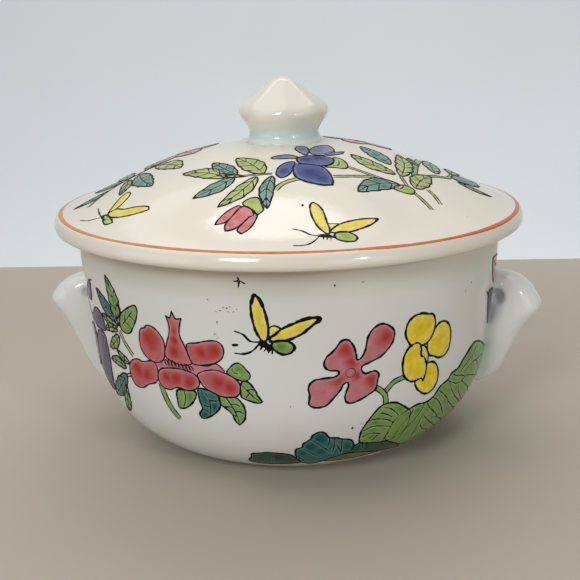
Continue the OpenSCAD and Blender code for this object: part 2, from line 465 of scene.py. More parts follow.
def make_handle(name, node):
    """A handle softened by its glaze, with a fillet where it is luted to the wall."""
    voxel, fillet, sunk = 0.45, 2.4, 1.6  # mesh size, the fillet's width, the root's depth in the wall
    raw = bpy.data.objects.new(name + "_raw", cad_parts[node].data.copy())
    bpy.context.scene.collection.objects.link(raw)
    remesh = raw.modifiers.new("even", "REMESH")
    remesh.mode = "VOXEL"
    remesh.voxel_size = voxel * MM
    ease = raw.modifiers.new("ease", "SMOOTH")
    ease.factor = 0.5
    ease.iterations = 14
    bpy.context.view_layer.update()
    shaped = bpy.data.meshes.new_from_object(raw.evaluated_get(bpy.context.evaluated_depsgraph_get()))
    bpy.data.objects.remove(raw)
    co = np.empty(len(shaped.vertices) * 3)
    no = np.empty(len(shaped.vertices) * 3)
    shaped.vertices.foreach_get("co", co)
    shaped.vertices.foreach_get("normal", no)
    co, no = co.reshape(-1, 3) / MM, no.reshape(-1, 3)
    r = np.hypot(co[:, 0], co[:, 1])
    outer = bowl_skin.line
    gap = (r - np.interp(co[:, 2], outer[:, 1], outer[:, 0])) * math.cos(math.radians(6))
    out = np.column_stack([co[:, 0] / r, co[:, 1] / r, np.zeros(len(r))])
    along = no - (no * out).sum(1)[:, None] * out
    near = np.clip(1 - gap / fillet, 0, 1)
    flare = fillet * (1 - np.sqrt(np.clip(1 - near ** 2, 0, 1))) * 0.7
    co += along * flare[:, None]
    co -= out * (sunk * smoothstep((0.9 - gap) / 0.9))[:, None]
    faces = [tuple(p.vertices) for p in shaped.polygons]
    pool = 0.55 * np.exp(-((gap - 0.5) / 1.6) ** 2)
    piece = make_piece(name, co, faces, "bowl", ("handle",), pool=pool)
    soft = piece.modifiers.new("soft", "SMOOTH")
    soft.factor = 0.5
    soft.iterations = 4
    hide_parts(node)
    bpy.data.meshes.remove(shaped)


# ---------------------------------------------------------------- painting

ink = (0.006, 0.005, 0.005)
palette = {  # deep colour, where the enamel is thick, and pale colour, where it is thin
    "red": ((0.41, 0.030, 0.024), (0.60, 0.200, 0.220)),
    "pink": ((0.44, 0.036, 0.034), (0.57, 0.215, 0.245)),
    "rose": ((0.58, 0.050, 0.070), (0.68, 0.260, 0.280)),
    "yellow": ((0.84, 0.600, 0.018), (0.86, 0.700, 0.100)),
    "lemon": ((0.82, 0.620, 0.050), (0.86, 0.740, 0.200)),
    "green": ((0.105, 0.250, 0.030), (0.250, 0.385, 0.110)),
    "lime": ((0.270, 0.390, 0.050), (0.480, 0.540, 0.170)),
    "olive": ((0.080, 0.120, 0.008), (0.150, 0.190, 0.020)),
    "teal": ((0.001, 0.078, 0.066), (0.030, 0.180, 0.155)),
    "sea": ((0.030, 0.180, 0.140), (0.170, 0.330, 0.260)),
    "forest": ((0.005, 0.048, 0.028), (0.025, 0.095, 0.055)),
    "blue": ((0.016, 0.022, 0.165), (0.100, 0.130, 0.360)),
    "mist": ((0.085, 0.100, 0.250), (0.250, 0.270, 0.400)),
    "violet": ((0.030, 0.026, 0.105), (0.095, 0.088, 0.190)),
}


def curve(points, closed=False, step=0.4):
    """A smooth line through the points, about step mm between samples. A point given twice is a corner."""
    p = [np.array(q, float) for q in points]
    n, out = len(p), []
    spans = n if closed else n - 1
    for i in range(spans):
        a, b, c, d = (p[k % n] if closed else p[min(max(k, 0), n - 1)] for k in (i - 1, i, i + 1, i + 2))
        count = max(1, int(np.linalg.norm(c - b) / step + 0.5))
        if np.allclose(b, c):
            continue
        for t in np.arange(count) / count:
            out.append(0.5 * (2 * b + (c - a) * t + (2 * a - 5 * b + 4 * c - d) * t ** 2
                              + (3 * b - a - 3 * c + d) * t ** 3))
    if not closed:
        out.append(p[-1])
    return np.array(out)


def distance_to(points, line):
    """Distance from each point to a line of short segments."""
    a, b = line[:-1], line[1:]
    span = b - a
    long = (span ** 2).sum(1) + 1e-12
    best = np.full(len(points), 1e9)
    for start in range(0, len(points), 400):
        part = points[start:start + 400, None]
        t = np.clip(((part - a) * span).sum(2) / long, 0, 1)
        best[start:start + 400] = np.linalg.norm(part - (a + t[..., None] * span), axis=2).min(1)
    return best


def inside(points, ring):
    """True for each point inside a closed ring."""
    x, y = points[:, :1], points[:, 1:]
    ax, ay = ring[:, 0], ring[:, 1]
    bx, by = np.roll(ax, -1), np.roll(ay, -1)
    crosses = (ay > y) != (by > y)
    at = ax + (y - ay) / np.where(by == ay, 1e-9, by - ay) * (bx - ax)
    return (crosses & (x < at)).sum(1) % 2 == 1


class Painting:
    """Enamel on one skin, which becomes one piece. A drawing can be turned and moved as a whole."""

    def __init__(self, name, skin, across=0.0, up=0.0, turned=0.0):
        self.name, self.skin = name, skin
        self.across, self.up, self.turned = across, up, math.radians(turned)
        self.rng = random.Random(name)
        self.points, self.normals, self.faces, self.tints, self.kinds = [], [], [], [], []
        self.layer = 0.0

    def laid(self, points):
        """Drawing coordinates to mm on the skin."""
        p = np.atleast_2d(np.array(points, float)) * (self.skin.around, 1)
        c, s = math.cos(self.turned), math.sin(self.turned)
        p = p @ np.array([[c, s], [-s, c]])
        return p + (self.across * self.skin.around, self.up)

    def add(self, flat, heights, faces, tints, kind):
        """Faces over points on the skin, raised by heights in mm, all turned outwards."""
        at, normal = self.skin.at(flat[:, 0], flat[:, 1])
        first = sum(len(p) for p in self.points)
        self.points.append(at + normal * (heights + self.layer)[:, None])
        self.tints.append(np.column_stack([tints, np.ones(len(flat))]))
        for face in faces:
            q = flat[list(face)]
            area = sum(q[i - 1][0] * q[i][1] - q[i][0] * q[i - 1][1] for i in range(len(q)))
            order = face if area > 0 else tuple(reversed(face))
            self.faces.append(tuple(first + i for i in order))
            self.kinds.append(kind)

    def fill(self, outline, colour, deep=(), ribs=(), lift=0.15, grain=0.55, core=0.3):
        """Enamel inside an outline: thick and deep-coloured near the deep spots, thin and pale at its edge
        and along its ribs. Each deep spot is (x, y, radius in mm). Elsewhere it is core deep, from 0 to 1."""
        ring = curve(self.laid(outline), closed=True)
        low, high = ring.min(0), ring.max(0)
        xs = np.arange(low[0], high[0], grain)
        ys = np.arange(low[1], high[1], grain * 0.866)
        grid = np.array([(x + (grain / 2 if j % 2 else 0), y) for j, y in enumerate(ys) for x in xs])
        grid = grid[inside(grid, ring)] if len(grid) else grid.reshape(0, 2)
        edge = np.vstack([ring, ring[:1]])
        if len(grid):
            grid = grid[distance_to(grid, edge) > grain * 0.45]
        flat = np.vstack([ring, grid])
        count = len(ring)
        border = [(i, (i + 1) % count) for i in range(count)]
        made = delaunay_2d_cdt([Vector(p) for p in flat], border, [], 1, 1e-5)
        flat = np.array([tuple(v) for v in made[0]])
        rim = distance_to(flat, edge)
        near = rim
        for rib in ribs:
            near = np.minimum(near, distance_to(flat, curve(self.laid(rib))))
        height = -0.04 + (lift + 0.04) * smoothstep(np.minimum(rim, near * 1.3 + 0.25) / 0.7)
        dark, light = (np.array(c) for c in palette[colour])
        share = np.full(len(flat), core)
        for x, y, reach in deep:
            centre = self.laid((x, y))[0]
            share = np.maximum(share, np.exp(-(((flat - centre) ** 2).sum(1)) / reach ** 2))
        wash = 0.5 + 0.5 * np.sin(flat[:, 0] * 1.1 + self.rng.random() * 6) * np.sin(flat[:, 1] * 0.9 + 1.3)
        share = np.clip(share + 0.14 * (wash - 0.5), 0, 1) * smoothstep(near / 1.5 + 0.08)
        tints = light + (dark - light) * share[:, None]
        thin = (1 - smoothstep((near - 0.15) / 0.65)) * 0.55
        tints = tints + (tints * 0.6 + 0.20 - tints) * thin[:, None]
        self.add(flat, height, [tuple(f) for f in made[2]], tints, 0)

    def line(self, path, width=0.5, ends=0.35, closed=False, height=0.10, colour=ink):
        """A brushed line, thinner at its ends, with the unevenness of a hand."""
        run = curve(self.laid(path), closed=closed, step=0.45)
        if closed:
            run = np.vstack([run, run[:1]])
        if len(run) < 2:
            return
        along = lengths(run)
        ahead = np.gradient(run, axis=0)
        ahead /= np.linalg.norm(ahead, axis=1)[:, None] + 1e-9
        side = np.column_stack([-ahead[:, 1], ahead[:, 0]])
        phase = self.rng.random() * 6
        swing = 1 + 0.22 * np.sin(along * 1.3 + phase) + 0.12 * np.sin(along * 3.1 + 2 * phase)
        share = along / along[-1]
        taper = np.ones_like(share) if closed else ends + (1 - ends) * np.sin(np.pi * share) ** 0.45
        half = 0.62 * width * swing * taper
        offsets, rises = (-1, -0.55, 0, 0.55, 1), (-0.04, 0.75, 1, 0.75, -0.04)
        flat = np.vstack([run + side * (half * o)[:, None] for o in offsets])
        heights = np.concatenate([np.full(len(run), height * r if r > 0 else r) for r in rises])
        n = len(run)
        faces = [(k * n + i, k * n + i + 1, (k + 1) * n + i + 1, (k + 1) * n + i)
                 for k in range(len(offsets) - 1) for i in range(n - 1)]
        self.add(flat, heights, faces, np.tile(colour, (len(flat), 1)), 1)

    def shape(self, outline, colour, deep=(), ribs=(), width=0.5, lift=0.15, core=0.3, over=0):
        """A filled outline with its brushed edge and ribs, laid over as many earlier shapes as over says."""
        self.layer = 0.06 * over
        self.fill(outline, colour, deep, ribs, lift, core=core)
        self.line(outline, width, closed=True, height=lift + 0.03)
        for rib in ribs:
            self.line(rib, width * 0.95, 0.4, height=lift + 0.02)
        self.layer = 0.0

    def dot(self, x, y, radius, colour=ink, stretch=1.0):
        """A small raised spot of enamel."""
        centre = self.laid((x, y))[0]
        turns = np.arange(12) * math.pi / 6
        rings = [(0.0, 0.10), (0.6, 0.08), (1.0, -0.04)]
        flat = [centre]
        heights = [rings[0][1]]
        for share, rise in rings[1:]:
            flat += [centre + radius * share * np.array((math.cos(a), stretch * math.sin(a))) for a in turns]
            heights += [rise] * 12
        faces = [(0, 1 + k, 1 + (k + 1) % 12) for k in range(12)]
        faces += [(1 + k, 13 + k, 13 + (k + 1) % 12, 1 + (k + 1) % 12) for k in range(12)]
        self.add(np.array(flat), np.array(heights), faces, np.tile(colour, (len(flat), 1)), 1)

    def leaf(self, base, tip, width, colour, bend=0.0, ribs=3, edge=0.5):
        """A pointed leaf with a midrib and side ribs, its edge nicked where the ribs meet it."""
        a, b = (np.array(p, float) * (self.skin.around, 1) for p in (base, tip))
        ahead = b - a
        long = np.linalg.norm(ahead)
        ahead = ahead / long
        side = np.array((-ahead[1], ahead[0]))

        def at(t, off):
            arc = bend * long * math.sin(math.pi * t)
            return tuple((a + ahead * long * t + side * (arc + off)) / (self.skin.around, 1))

        def half(t):
            nick = 1 - 0.13 * abs(math.cos(math.pi * t * (ribs + 1)))
            return width / 2 * math.sin(math.pi * t ** 0.85) ** 0.75 * nick

        steps = [k / 10 for k in range(1, 10)]
        left = [at(t, half(t)) for t in steps]
        right = [at(t, -half(t)) for t in reversed(steps)]
        outline = [at(0, 0), *left, at(1, 0), at(1, 0), *right]
        veins = [[at(0.02, 0), at(0.35, 0), at(0.7, 0), at(0.97, 0)]]
        for k in range(ribs):
            root = (k + 0.55) / (ribs + 0.7)
            end = min(root + 0.17, 0.95)
            for s in (1, -1):
                reach = s * half(end)
                veins.append([at(root, 0), at((root + end) / 2, reach * 0.55), at(end, reach * 0.97)])
        spots = [(*at(0.35 + 0.35 * self.rng.random(), s * width * 0.2), width * 0.33) for s in (1, -1)]
        self.shape(outline, colour, spots, veins, edge)

    def stem(self, path, width, colour="lime"):
        """A stalk: a narrow filled strip between two lines."""
        run = curve([np.array(p, float) * (self.skin.around, 1) for p in path], step=1.6)
        ahead = np.gradient(run, axis=0)
        ahead /= np.linalg.norm(ahead, axis=1)[:, None]
        side = np.column_stack([-ahead[:, 1], ahead[:, 0]]) * width / 2
        left, right = ((run + side * s) / (self.skin.around, 1) for s in (1, -1))
        self.fill([*map(tuple, left), *map(tuple, right[::-1])], colour, lift=0.10)
        self.line([*map(tuple, left)], 0.42, 0.6)
        self.line([*map(tuple, right)], 0.42, 0.6)

    def finish(self, body):
        make_piece(self.name, np.vstack(self.points), self.faces, body, ("enamel", "ink"),
                   kinds=self.kinds, tints=np.vstack(self.tints))


def paint(body, name, motif, **moved):
    """One piece of painting on the bowl or the lid. Its drawing may be moved across, moved up or turned."""
    painting = Painting(name, bowl_skin if body == "bowl" else lid_skin, **moved)
    motif(painting)
    painting.finish(body)


# ---------------------------------------------------------------- motifs on the bowl


def red_flower(m):
    """A red blossom seen from the side, with a crowned bud standing in its middle."""
    m.fill([(-27.5, 51), (-22, 52.5), (-16.5, 51.5), (-10.4, 51.4), (-8.4, 48.9), (-15, 46.5),
            (-26, 46.5), (-31, 48.6)], "pink", lift=0.06, core=0)
    m.line([(-16.6, 50.3), (-13, 50.4), (-10.6, 51.3), (-8.6, 49.2)], 0.4, height=0.16)
    m.shape([(-25.2, 52.5), (-25, 55.5), (-26, 58.1), (-28, 59.9), (-30, 60.2), (-31.2, 59.1),
            (-32.8, 58.2), (-33.6, 55), (-33.5, 52.5), (-32.4, 50.3), (-30.5, 49), (-28, 48.8),
            (-26, 50)], "red", [(-29.5, 56, 4.6)], width=0.42, core=0.42)
    m.shape([(-18.3, 56.2), (-15.5, 57.2), (-12.5, 58.2), (-10, 58.3), (-8.6, 56.6), (-8.7, 54),
            (-10.2, 52), (-13, 50.8), (-16, 50.4), (-17.6, 51.5)], "red", [(-11, 55, 3.6),
            (-14.5, 54.3, 3.0)], width=0.42, core=0.5)
    m.shape([(-25, 51.4), (-24.4, 55), (-23.2, 58.5), (-22.8, 61.5), (-23.5, 64.4), (-23.5, 64.4),
            (-22.3, 63.9), (-21.6, 66.2), (-21.6, 66.2), (-20.7, 63.9), (-19, 64.3), (-19, 64.3),
            (-19.8, 61.5), (-19.9, 58.5), (-18.8, 55.5), (-17.8, 52.2), (-17.4, 50.4), (-21, 49.6)],
            "red", [(-21.4, 60, 1.8), (-21.6, 57, 2.2), (-22, 53.5, 2.8)], width=0.4, core=0.35, over=1)
    m.shape([(-30, 48.8), (-28.5, 47.5), (-28.4, 44.5), (-29.5, 42), (-32.5, 40.5), (-35.3, 38.6),
            (-38.2, 38.9), (-39.8, 41.5), (-39.6, 44.8), (-38, 47), (-35.5, 48), (-33.5, 47.7)], "red",
            [(-36, 44.6, 4.0), (-32.5, 43.6, 3.2)], width=0.42, core=0.5)
    m.shape([(-16, 47.2), (-14, 48.7), (-11, 49.4), (-8.5, 48.6), (-6.3, 47.3), (-5, 45.6), (-5, 43),
            (-6.5, 41.2), (-9.5, 41), (-12, 42), (-14.3, 43.3), (-15.3, 45)], "red", [(-7.4, 44, 3.2),
            (-10.4, 45.6, 3.0)], width=0.42, core=0.42)
    m.shape([(-28.5, 43.6), (-27.5, 46.6), (-24.5, 47.8), (-20.5, 48.2), (-17, 47.3), (-15.6, 45.3),
            (-16.4, 42.9), (-19, 41.6), (-22.3, 42), (-24.8, 40.8), (-27.2, 41.2)], "red",
            [(-18.5, 44.6, 3.0), (-22.5, 44.8, 3.2), (-25.5, 44.6, 2.4)], width=0.42, core=0.5, over=1)
    for k, tall in enumerate((1.9, 2.6, 2.2, 3.0, 2.4, 2.8, 2.0, 1.5)):
        x, y = -24.9 + 1.05 * k, 48.6 - 0.05 * k
        m.line([(x, y), (x - 0.5, y + tall * 0.6), (x - 0.2, y + tall)], 0.42, 0.3, height=0.2)
        m.line([(x + 0.5, y), (x + 0.4, y + tall * 0.5), (x - 0.2, y + tall)], 0.42, 0.3, height=0.2)
    for x, y in ((-28.6, 49.2), (-27.8, 50.2), (-26.9, 48.8), (-27.2, 49.6), (-25.8, 49.9)):
        m.line([(x, y), (x + 0.5, y + 0.25)], 0.4, height=0.2)
    m.dot(-22.6, 40.6, 0.8)


def red_flower_leaves(m):
    """The stalk and the leaves below and beside the red flower."""
    m.stem([(-27.9, 42.2), (-27.3, 39.6), (-26, 35.6), (-24.3, 32.2), (-23.4, 31)], 1.8, "green")
    m.shape([(-22.6, 41), (-20, 41.6), (-17.2, 41.6), (-17.3, 39.4), (-19, 37), (-20.8, 35.5),
            (-22.6, 35.3), (-22.9, 38)], "green", [(-19, 39.6, 1.8)], [[(-20.4, 41.2), (-20.2, 38.6),
            (-21.2, 36)]], width=0.55)
    for y in (39.6, 38.4, 37.2):
        m.dot(-22.6, y, 0.28)
    m.shape([(-16.3, 42.5), (-14, 42.7), (-11.6, 41.8), (-10.4, 40.2), (-10.6, 37.6), (-12, 35.4),
            (-13.7, 33.9), (-15.8, 32.8), (-16.7, 34.2), (-15.6, 36.3), (-16.1, 39)], "teal",
            [(-13.6, 39.6, 2.2), (-12, 37.4, 1.8), (-15.2, 34.4, 1.4)], [[(-14.6, 42.2), (-13.4, 39.8),
            (-13.2, 37), (-13.6, 34.4)], [(-16, 38.4), (-14.6, 37.4), (-13.3, 37.4)], [(-15.6, 36.2),
            (-14.4, 35.8), (-13.4, 35.2)], [(-13.3, 39.6), (-11.8, 39.4), (-10.6, 40)]], width=0.55)
    m.shape([(-10.6, 41), (-8.7, 41), (-6.2, 41.1), (-4.7, 39.3), (-4, 37), (-4.4, 34), (-5.9, 31.8),
            (-5.9, 31.8), (-6.8, 33.2), (-7.5, 35.6), (-8.6, 37), (-10.3, 38.6)], "green",
            [(-7.6, 37.8, 1.5), (-5.8, 34.2, 1.4)], [[(-8.8, 40.9), (-7.2, 38), (-6.2, 35), (-5.9, 32.6)],
            [(-7.7, 38.8), (-6.4, 39), (-5.2, 38.4)], [(-6.8, 36.4), (-5.6, 36.7), (-4.4, 36)],
            [(-7.3, 38), (-8.3, 38), (-9.5, 37.9)], [(-6.3, 35), (-7, 35.2), (-7.4, 35.6)]], width=0.55)
    m.shape([(-7.9, 48.6), (-7.4, 50.2), (-6, 51.8), (-4.6, 51.9), (-3.2, 50.2), (-2.2, 48.4),
            (-2.9, 46.9), (-4.6, 46.6)], "green", [(-5, 50, 1.5)], [[(-6.6, 50.6), (-6.4, 49.2),
            (-5.2, 48.8)]], width=0.42)
    for x, y in ((-6.2, 49.8), (-5.2, 49.9), (-4.2, 49.6)):
        m.dot(x, y, 0.22)
    m.shape([(-4.7, 45.4), (-3.8, 46.7), (-2.4, 45.8), (-1, 43.4), (-0.7, 42.2), (0.5, 40.2), (0.5, 40.2),
            (-0.6, 39.7), (-2.8, 40.4), (-4.6, 41.3), (-4.9, 43.2)], "green", [(-2.8, 44, 1.4),
            (-1.6, 41.4, 1.2)], [[(-4.4, 45.2), (-3, 43.4), (-1.6, 41.6), (-0.2, 40.4)], [(-3.2, 43.7),
            (-2.2, 44), (-1.4, 43.8)], [(-2.6, 42.8), (-3.2, 41.9), (-3.6, 41.2)]], width=0.55)


def left_sprays(m):
    """Leaves fanning from two hubs to the left of the red flower."""
    m.stem([(-42, 55.5), (-40.3, 52.2), (-37.2, 48.6)], 1.2)
    m.leaf((-42.3, 57), (-44.9, 72.6), 6.0, "green", -0.08, 4)
    m.leaf((-43, 58.5), (-52.2, 66.6), 5.4, "teal", 0.04, 3)
    m.shape([(-41.2, 57.2), (-40.2, 61), (-37, 63.8), (-33.6, 65.5), (-33, 63.4), (-34.6, 59.6),
            (-37.2, 56), (-39.8, 55.6)], "green", [(-38.4, 60.4, 1.4), (-35.2, 63, 1.2),
            (-37.2, 57.6, 1.2)], [[(-41, 56.8), (-37.6, 60.4), (-34.4, 64)], [(-38.6, 59.2), (-38.2, 61),
            (-37.4, 63)], [(-36.4, 61.6), (-35.4, 61.4), (-34.4, 60.4)], [(-38.6, 59.2), (-37, 58.6),
            (-36, 57.4)]], width=0.5)
    for leaf in (
            ((-42, 57), (-40.8, 64.6), 2.4, "green", 0, 1),
            ((-42.5, 56.8), (-51, 58.6), 3.2, "green", 0.06, 2),
            ((-42.8, 55.4), (-50.4, 53.6), 3.0, "green", -0.08, 2),
            ((-42.6, 53.6), (-49.2, 48), 4.0, "green", 0.05, 2),
            ((-39.5, 45.4), (-45.2, 48.2), 2.8, "green", 0.05, 1),
            ((-41.5, 43.4), (-50, 43.8), 3.4, "green", -0.08, 2),
            ((-41.8, 41), (-53.2, 30.2), 6.0, "teal", 0.04, 3),
            ((-43, 37.4), (-50, 24.4), 3.8, "green", 0.08, 3)):
        m.leaf(*leaf)
    m.stem([(-42.8, 40.2), (-39.4, 41.8)], 0.9)


def blue_flower(m):
    """A dusky blue flower in profile, by the left handle."""
    m.shape([(-50.3, 54.5), (-51.5, 58), (-54.5, 59.3), (-58, 58), (-60.5, 54.5), (-58, 52.3),
            (-54, 52.4), (-51, 52.8)], "violet", [(-54, 55.6, 2.6), (-57, 56, 2.2)])
    m.shape([(-51.3, 50.6), (-54, 51.7), (-58, 50.4), (-61.5, 45), (-61.2, 39), (-58, 33.2), (-54, 31.4),
            (-51.8, 35), (-51, 43)], "violet", [(-53.5, 45.5, 3.2), (-56, 38.5, 3.4), (-54, 33.5, 2.0)],
            [[(-53, 50.5), (-55.5, 44), (-56, 37), (-54.5, 32)]])
    m.shape([(-62, 50.5), (-60.5, 46), (-62.2, 39), (-66.5, 36), (-71, 39.5), (-71.5, 46), (-67, 50.5)],
            "violet", [(-66, 44, 3.6)], [[(-62, 49), (-65.5, 44), (-69, 41)]])
    m.shape([(-57.3, 67.4), (-60, 66.4), (-63, 62.5), (-60.5, 60.2), (-58, 62.3)], "violet",
            [(-59.8, 63.8, 2.0)])
    m.line([(-57.5, 67.6), (-55, 68.4)], 0.4)
    m.line([(-51, 57.4), (-57, 56.3), (-64, 55)], 0.5)
    m.line([(-62, 51), (-64, 56), (-69, 60), (-73, 61)], 0.8)


def butterfly(m):
    """A small butterfly: two long wings, a short one between them, a round lower wing, and feelers."""
    m.shape([(2.7, 60.4), (2.7, 62.8), (4, 63.7), (5.4, 62.8), (4.4, 61)], "lemon", [(4, 62.2, 1.2)],
            width=0.5)
    m.shape([(1.0, 59.2), (-0.4, 62.5), (-1.1, 66.5), (-1.2, 70), (-0.3, 73), (-0.3, 73), (0.9, 71.6),
            (1.9, 68), (2.6, 63.5), (2.5, 60.4), (1.8, 59.1)], "lemon", [(0.4, 66, 3.4),
            (1.4, 61.5, 2.6)], width=0.8)
    m.shape([(2.8, 59.3), (5, 62.2), (9, 64.5), (12.4, 65.7), (14.6, 65.6), (14.6, 65.6), (12.6, 63.2),
            (9.5, 60.6), (6, 59.2)], "lemon", [(6, 61, 3.4), (10.2, 63.2, 2.6)], width=0.8)
    m.line([(9, 64.9), (12.6, 65.8), (14.7, 65.5), (12.8, 63.6), (11, 61.9)], 1.1, 0.4, height=0.2)
    m.line([(-0.9, 70), (-0.4, 72.8), (0.6, 71.8), (1.6, 69)], 1.0, 0.4, height=0.2)
    m.shape([(3.3, 57.4), (4, 59.1), (6, 59.3), (8, 58.4), (8.6, 56.8), (7.4, 55.3), (5.3, 55.3)],
            "green", [(5.5, 57.4, 1.6)], width=0.8)
    m.line([(0.3, 58.9), (1.6, 58.1), (3.3, 56.5)], 2.2, 0.5, height=0.24)
    for x, y, dx in ((1.0, 57.3, -0.5), (1.8, 56.8, -0.4), (2.6, 56.3, -0.2), (3.2, 56, 0.1)):
        m.line([(x + 0.3, y + 0.6), (x + dx, y - 0.9)], 0.5, 0.4)
    m.line([(0.3, 58.8), (-1.8, 59), (-3.4, 60.9), (-5.6, 61.9)], 0.62, 0.5)
    m.line([(0.4, 58.3), (-1.4, 56), (-3.5, 55), (-5.9, 55.1)], 0.62, 0.5)
    m.line([(-6.3, 57.5), (-4.7, 57.7)], 0.8, 0.5)


def pink_flower(m):
    """A pink flower of four petals in one outline, with a ringed heart."""
    m.shape([(23.6, 53.8), (22.8, 56.5), (21.5, 58.4), (19.8, 58.2), (18.5, 56.2), (17.6, 55),
            (16.2, 53.5), (15.7, 51.3), (16.8, 49.6), (19, 49.2), (19.4, 48.3), (18.2, 47.3),
            (15.5, 47.1), (13.2, 46.6), (11.9, 44.6), (12.2, 41.8), (12, 39.2), (13.4, 38.1), (16, 38.3),
            (17.6, 40), (19.5, 42.5), (20.6, 44.8), (21.6, 45.2), (21.9, 44), (21.1, 41.2), (21.4, 39.2),
            (22.8, 38.5), (25, 39.2), (27.5, 40.6), (29.2, 42), (29.6, 44.5), (29.8, 46.6), (28.5, 47.8),
            (26.3, 47.3), (25.3, 48.2), (25.3, 49.8), (27.2, 50.7), (30.5, 52.3), (33, 55.5),
            (33.6, 58.8), (32.2, 61), (30, 62.1), (27.8, 61), (26.5, 58.5), (25.9, 54.5), (25, 52.5),
            (23.9, 52)], "pink", [(21, 55.4, 3.0), (31.4, 57.8, 3.4), (28, 45, 2.9), (19.4, 46.2, 2.4),
            (22.6, 51.5, 2.4), (24, 47, 1.8)], width=0.62, core=0.16)
    ring = [(22.3 + 1.25 * math.cos(a), 48.2 + 1.4 * math.sin(a)) for a in np.arange(10) * math.pi / 5]
    m.line(ring, 0.42, closed=True, height=0.18)


def yellow_flower(m):
    """A yellow flower of overlapping round petals."""
    m.shape([(44.2, 52.8), (45.4, 54.8), (46.5, 57.3), (48.3, 58.7), (50.5, 58.2), (52.3, 56), (53, 52.8),
            (52.8, 49.5), (51.2, 47.4), (49, 47.2), (46.8, 48.3), (45, 49.3)], "yellow", [(48, 52, 3.6),
            (51, 49.5, 2.4)], width=0.66)
    m.shape([(39, 53.4), (37, 57), (37.2, 60.5), (39, 62.6), (41.5, 63), (43.5, 62.4), (45.2, 61.8),
            (46.2, 59.5), (46, 56.5), (44.9, 54.2), (43.4, 53), (41, 52.6)], "yellow", [(41, 58, 4.0),
            (43.5, 58.5, 2.6)], width=0.66, over=1)
    m.shape([(41, 42.5), (41.6, 39.6), (43.6, 37.3), (45.8, 36.4), (48, 37.4), (49.3, 40), (49, 43.5),
            (47.5, 45.9), (45.2, 46.6), (43, 45)], "yellow", [(46, 43, 2.6), (44.5, 39.5, 2.6)],
            width=0.66)
    m.shape([(42, 53.1), (43.8, 51.8), (44.8, 49), (44.4, 46.8), (42.6, 48.5), (41.8, 51)], "lemon",
            width=0.5, over=1)
    m.shape([(40.1, 54.1), (38.2, 53), (36.9, 50.5), (36.7, 47), (37.5, 44), (39.5, 42.1), (41.5, 42),
            (42.9, 42.2), (43.7, 41.2), (43.7, 41.2), (44.4, 44), (44.3, 46.6), (43.4, 48.8),
            (42.3, 49.8), (42.2, 52), (41.5, 53.6)], "yellow", [(39.3, 50, 3.4), (41.3, 45.5, 3.2)],
            width=0.66, over=2)


def forked_stalk(m):
    """The stalk that carries the pink and the yellow flower."""
    m.stem([(32.4, 36.4), (32.1, 39), (30.8, 41), (29, 42.6)], 1.6, "green")
    m.stem([(32, 40.4), (34.3, 43), (37.6, 44)], 1.5, "green")


def round_leaf(m):
    """A broad leaf with curved ribs, partly behind the long one."""
    m.shape([(32.2, 36.4), (30, 34.8), (28, 31.5), (26.5, 27.5), (27, 22.3), (31, 20.8), (37, 20.4),
            (41, 24), (41, 31), (38.8, 33.6), (35.6, 36)], "green", [(37, 33.9, 1.8), (31.4, 33, 2.0),
            (30, 29.9, 1.6), (29.8, 27.2, 1.6), (30, 24.4, 1.6)], [[(28, 31.4), (30.5, 31.6),
            (33.5, 30.6), (36.2, 28.6)], [(27, 27.6), (29.3, 28.8), (32, 28.5), (35.6, 27.2)],
            [(27, 24.6), (28.8, 26), (31, 25.7), (33, 24.8)], [(30.6, 22.2), (31.8, 24.4), (32.4, 25.4)],
            [(34.7, 20.8), (34.8, 22.8), (35.4, 24.8)], [(32, 35.3), (34, 34.5), (36, 32.5), (37, 31.2)],
            [(30.5, 33.8), (32.6, 33), (35, 31.2)]], width=0.6)


